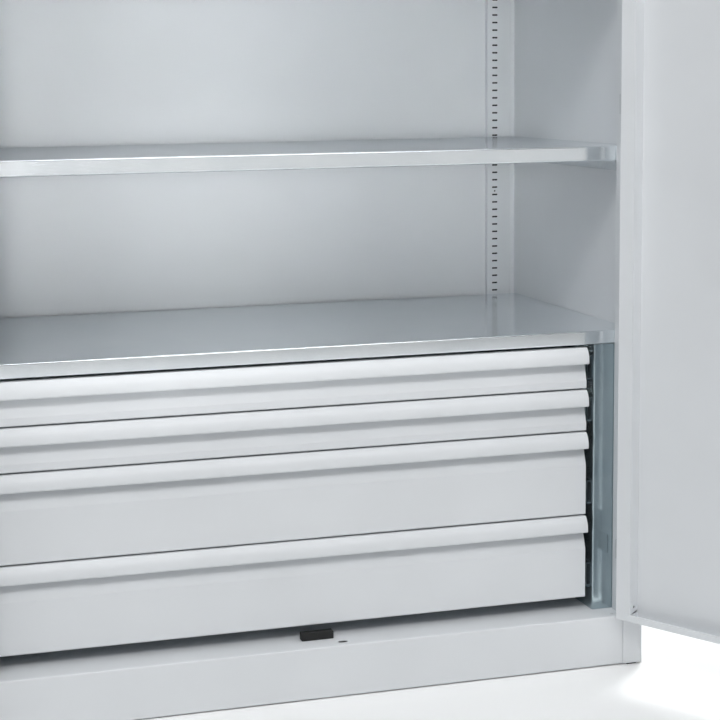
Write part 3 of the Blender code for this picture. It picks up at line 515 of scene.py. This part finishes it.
def waisted_slot(tree, given):
    """A long slot with round ends and a slightly pinched middle, bent from a circle of radius 1."""
    circle = add(tree, "GeometryNodeCurvePrimitiveCircle", {"Resolution": SLOT_CORNERS, "Radius": 1.0})
    point = add(tree, "ShaderNodeSeparateXYZ", {"Vector": add(tree, "GeometryNodeInputPosition")})
    along, up = point.outputs["X"], point.outputs["Y"]
    rise = add(tree, "ShaderNodeMath", {0: up}, operation="ABSOLUTE")
    squared = add(tree, "ShaderNodeMath", {0: rise, 1: SLOT_SQUARENESS}, operation="POWER")
    side = add(tree, "ShaderNodeMath", {0: up}, operation="SIGN")
    unpinched = add(tree, "ShaderNodeMath", {0: squared, 1: side}, operation="MULTIPLY")
    off_middle = add(tree, "ShaderNodeMath", {0: along, 1: along}, operation="MULTIPLY")
    nearness = add(tree, "ShaderNodeMath", {0: 1.0, 1: off_middle}, operation="SUBTRACT")
    bulge = add(tree, "ShaderNodeMath", {0: nearness, 1: WAIST_POWER}, operation="POWER")
    drawn_in = add(tree, "ShaderNodeMath", {0: given["Waist"], 1: bulge}, operation="MULTIPLY")
    pinch = add(tree, "ShaderNodeMath", {0: 1.0, 1: drawn_in}, operation="SUBTRACT")
    height = add(tree, "ShaderNodeMath", {0: unpinched, 1: pinch}, operation="MULTIPLY")
    unit = add(tree, "ShaderNodeCombineXYZ", {"X": along, "Y": height})
    size = add(tree, "ShaderNodeCombineXYZ", {"X": given["Slot Length"], "Y": given["Slot Height"]})
    half_size = add(tree, "ShaderNodeVectorMath", {0: size, 1: HALF}, operation="MULTIPLY")
    bent = add(tree, "ShaderNodeVectorMath", {0: unit, 1: half_size}, operation="MULTIPLY")
    return add(tree, "GeometryNodeSetPosition", {"Geometry": circle, "Position": bent})


def ladder(tree, given):
    """Slots at even steps, from the first one to the last that fits."""
    span = add(tree, "ShaderNodeMath", {0: given["Height"], 1: given["First Slot"]}, operation="SUBTRACT")
    steps = add(tree, "ShaderNodeMath", {0: span, 1: given["Pitch"]}, operation="DIVIDE")
    line = {
        "Count": add(tree, "ShaderNodeMath", {0: steps}, operation="FLOOR"),
        "Start Location": add(tree, "ShaderNodeCombineXYZ", {"Y": given["First Slot"]}),
        "Offset": add(tree, "ShaderNodeCombineXYZ", {"Y": given["Pitch"]}),
    }
    rungs = add(tree, "GeometryNodeMeshLine", line, mode="OFFSET")
    punches = {"Points": rungs, "Instance": waisted_slot(tree, given)}
    return add(tree, "GeometryNodeInstanceOnPoints", punches)


def front_plate(tree, given):
    """The upright's front in X and Z, with its ladder of slots and one round mark."""
    sizes = {"Width": given["Width"], "Height": given["Height"]}
    blank = add(tree, "GeometryNodeCurvePrimitiveQuadrilateral", sizes)
    half_height = add(tree, "ShaderNodeMath", {0: given["Height"], 1: 0.5}, operation="MULTIPLY")
    lift = add(tree, "ShaderNodeCombineXYZ", {"Y": half_height})
    outline = add(tree, "GeometryNodeTransform", {"Geometry": blank, "Translation": lift})
    slots = ladder(tree, given)
    round_mark = {"Resolution": MARK_CORNERS, "Radius": MARK_RADIUS}
    ring = add(tree, "GeometryNodeCurvePrimitiveCircle", round_mark)
    mark_place = add(tree, "ShaderNodeCombineXYZ", {"Y": given["Mark Height"]})
    mark = add(tree, "GeometryNodeTransform", {"Geometry": ring, "Translation": mark_place})
    drawn = add(tree, "GeometryNodeJoinGeometry", {"Geometry": [outline, slots, mark]})
    curves = add(tree, "GeometryNodeRealizeInstances", {"Geometry": drawn})
    plate = add(tree, "GeometryNodeFillCurve", {"Curve": curves})
    return add(tree, "GeometryNodeTransform", {"Geometry": plate, "Rotation": (QUARTER_TURN, 0, 0)})


def side_wall(tree, given, side):
    """A wall that runs back from one edge of the plate."""
    sizes = {"Size X": given["Depth"], "Size Y": given["Height"], "Vertices X": 2, "Vertices Y": 2}
    blade = add(tree, "GeometryNodeMeshGrid", sizes)
    box = {"X": given["Width"], "Y": given["Depth"], "Z": given["Height"]}
    size = add(tree, "ShaderNodeCombineXYZ", box)
    half_size = add(tree, "ShaderNodeVectorMath", {0: size, 1: HALF}, operation="MULTIPLY")
    place = add(tree, "ShaderNodeVectorMath", {0: half_size, 1: (side, 1, 1)}, operation="MULTIPLY")
    turn = (QUARTER_TURN, 0, side * QUARTER_TURN)
    return add(tree, "GeometryNodeTransform", {"Geometry": blade, "Translation": place, "Rotation": turn})


def punched_ladder():
    """A group that makes an upright as bare folded sheet, from its sizes and its coat."""
    tree = bpy.data.node_groups.new("punched_ladder", "GeometryNodeTree")
    sockets = {}
    for name in (*LADDER_SIZES, "Coat"):
        kind = "NodeSocketMaterial" if name == "Coat" else "NodeSocketFloat"
        sockets[name] = tree.interface.new_socket(name, in_out="INPUT", socket_type=kind).identifier
    tree.interface.new_socket("Geometry", in_out="OUTPUT", socket_type="NodeSocketGeometry")
    given = add(tree, "NodeGroupInput").outputs
    folds = [front_plate(tree, given), side_wall(tree, given, -1), side_wall(tree, given, 1)]
    loose = add(tree, "GeometryNodeJoinGeometry", {"Geometry": folds})
    sheet = add(tree, "GeometryNodeRealizeInstances", {"Geometry": loose})
    sewn = add(tree, "GeometryNodeMergeByDistance", {"Geometry": sheet, "Distance": MERGE})
    coated = add(tree, "GeometryNodeSetMaterial", {"Geometry": sewn, "Material": given["Coat"]})
    add(tree, "NodeGroupOutput", {"Geometry": coated})
    return tree, sockets


def slot_shade_strip(side, low, high):
    """A near-black sheet that closes an upright at its back: painted shade, seen through the slots."""
    inner_low = (low[0] + STRIP_INSET, high[1] - UPRIGHT_SHEET, low[2] + UPRIGHT_SHEET)
    inner_high = (high[0] - STRIP_INSET, high[1] - STRIP_BACK_GAP, high[2] - UPRIGHT_SHEET)
    name = "upright_inside_" + side
    mesh = as_mesh(block(inner_low, inner_high), name)
    mesh.materials.append(SLOT_SHADE_DARK)
    piece = put(name, mesh)
    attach(piece, "cabinet")


def rear_uprights():
    """Both uprights, punched from just above the drawer block's cover."""
    tree, sockets = punched_ladder()
    cover_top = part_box("cover_shelf")[1][2]
    for side in ("left", "right"):
        node = "rear_upright_" + side
        low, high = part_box(node)
        first = cover_top + FIRST_SLOT_RISE - low[2]
        sizes = {
            "Width": high[0] - low[0],
            "Height": high[2] - low[2],
            "Depth": high[1] - low[1],
            "First Slot": first,
            "Pitch": SLOT_PITCH,
            "Slot Length": SLOT_LENGTH,
            "Slot Height": SLOT_HEIGHT,
            "Waist": SLOT_WAIST,
            "Mark Height": first + MARK_PITCHES * SLOT_PITCH,
        }
        holder = put("holder", bpy.data.meshes.new("holder"))
        punch = holder.modifiers.new("punch", "NODES")
        punch.node_group = tree
        for name in LADDER_SIZES:
            punch[sockets[name]] = float(sizes[name])
        punch[sockets["Coat"]] = PAINT
        fold = holder.modifiers.new("sheet", "SOLIDIFY")
        fold.thickness = UPRIGHT_SHEET
        fold.offset = -1.0
        fold.use_even_offset = True
        mesh = with_modifiers(holder)
        mesh.transform(Matrix.Translation(((low[0] + high[0]) / 2, low[1], low[2])))
        stand_for(node, mesh)
        # The dark strip behind the slots is painted shade.
        slot_shade_strip(side, low, high)


# Stage, light and camera

def white_floor():
    """A matt floor under the cabinet."""
    bpy.ops.mesh.primitive_plane_add(size=FLOOR_SIZE, location=(0, 0, 0))
    floor = bpy.context.object
    floor.name = "studio_floor"
    material, tree, shader, _ = new_material("matt_white_floor")
    feed(tree, shader, {"Base Color": linear(FLOOR_HEX), "Roughness": FLOOR_ROUGHNESS})
    floor.data.materials.append(material)


def surround():
    """What the sheets mirror, and the even tone that the camera sees past the cabinet."""
    world = bpy.data.worlds.new("white_surround")
    bpy.context.scene.world = world
    world.use_nodes = True
    tree = world.node_tree
    away = add(tree, "ShaderNodeTexCoord").outputs["Generated"]
    wide = add(tree, "ShaderNodeVectorMath", {0: away, 1: (1.0, 1.0, GLOW_FLATNESS)}, operation="MULTIPLY")
    flat = add(tree, "ShaderNodeVectorMath", {0: wide}, operation="NORMALIZE")
    toward = add(tree, "ShaderNodeVectorMath", {0: flat, 1: GLOW_AIM.normalized()}, operation="DOT_PRODUCT")
    band = {
        "Value": toward.outputs["Value"],
        "From Min": GLOW_EDGE,
        "From Max": GLOW_CORE,
        "To Min": DIM,
        "To Max": GLOW,
    }
    glow = add(tree, "ShaderNodeMapRange", band, interpolation_type="SMOOTHSTEP")
    depth = add(tree, "ShaderNodeSeparateXYZ", {"Vector": away}).outputs["Y"]
    rear = {"Value": depth, "From Max": BACKDROP_CORE, "To Max": BACKDROP}
    behind = add(tree, "ShaderNodeMapRange", rear, interpolation_type="SMOOTHSTEP")
    mirrored = add(tree, "ShaderNodeMath", {0: glow, 1: behind}, operation="ADD")
    seen = add(tree, "ShaderNodeLightPath").outputs["Is Camera Ray"]
    shown = {"Value": seen, "To Min": mirrored, "To Max": PALE_SURROUND}
    strength = add(tree, "ShaderNodeMapRange", shown)
    feed(tree, tree.nodes["Background"], {"Color": linear(SURROUND_HEX), "Strength": strength})


def soft_light(name, place, aim, size, watts, grid_deg):
    """A lamp of this width and height turned towards a point, with a grid that narrows its light."""
    lamp = bpy.data.lights.new(name, "AREA")
    lamp.shape = "RECTANGLE"
    lamp.size, lamp.size_y = size
    lamp.energy = watts
    lamp.spread = math.radians(grid_deg)
    thing = put(name, lamp)
    thing.location = place
    thing.visible_camera = False
    thing.rotation_euler = (Vector(aim) - Vector(place)).to_track_quat("-Z", "Y").to_euler()


def camera():
    """The photograph's view."""
    data = bpy.data.cameras.new("camera")
    data.lens = CAMERA_LENS
    data.sensor_width = CAMERA_SENSOR
    data.shift_x, data.shift_y = CAMERA_SHIFT
    thing = put("camera", data)
    turn = Matrix.Rotation(-CAMERA_YAW, 4, "Z") @ Matrix.Rotation(QUARTER_TURN - CAMERA_PITCH, 4, "X")
    thing.matrix_world = Matrix.Translation(CAMERA_PLACE) @ turn @ Matrix.Rotation(CAMERA_ROLL, 4, "Z")
    bpy.context.scene.camera = thing


finish_cad_nodes()
dress_sheets()
doors()
rear_uprights()
white_floor()
surround()
for lamp_name, lamp_values in LAMPS.items():
    soft_light(lamp_name, *lamp_values)
camera()
bpy.context.scene.view_settings.view_transform = "Standard"
